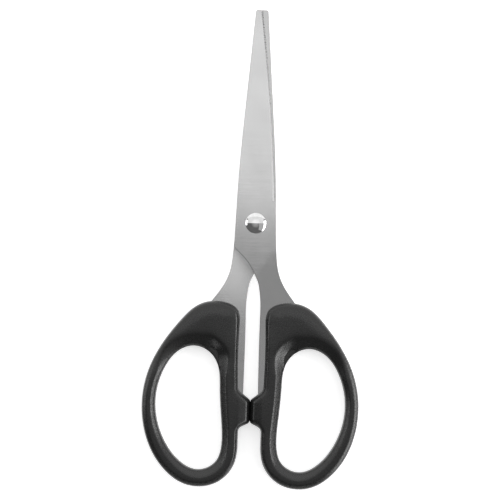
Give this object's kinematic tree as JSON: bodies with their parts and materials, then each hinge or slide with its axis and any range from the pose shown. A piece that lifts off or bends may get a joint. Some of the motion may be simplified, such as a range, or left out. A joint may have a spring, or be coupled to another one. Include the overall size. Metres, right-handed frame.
{
  "type": "fabric shears",
  "caption": "Straight fabric shears: stamped steel halves on a domed rivet, with moulded finger loops that stop against each other. Opens and closes to cut cloth.",
  "frame": {"origin": "centre of the bounding box's underside: the plane under the two finger loops that the shears lie on. The pivot axis crosses the frame at x = 0, y = 0.0108 m, and the blades shear on the plane z = 0.0045 m", "axes": "+Y from the finger loops to the tips, +X across to the right loop, +Z out of the face that carries the domed rivet head, which is also the pivot axis"},
  "size_m": [0.092, 0.203, 0.009],
  "materials": {
    "blade_steel": "satin, with fine grinding lines across the blade",
    "rivet_steel": "polished and bright plated",
    "loop_plastic": "moulded, black, fine matt texture"
  },
  "bodies": {
    "back_half": {"back_blade": "blade_steel", "left_loop": "loop_plastic", "pivot_rivet": "rivet_steel", "rivet_washer": "rivet_steel"},
    "front_half": {"front_blade": "blade_steel", "right_loop": "loop_plastic"}
  },
  "joints": [
    {"name": "pivot", "type": "hinge", "parent": "back_half", "child": "front_half", "pos_m": [0, 0.01085, 0.0045], "axis": [0, 0, 1], "range_deg": [0, 110]}
  ]
}
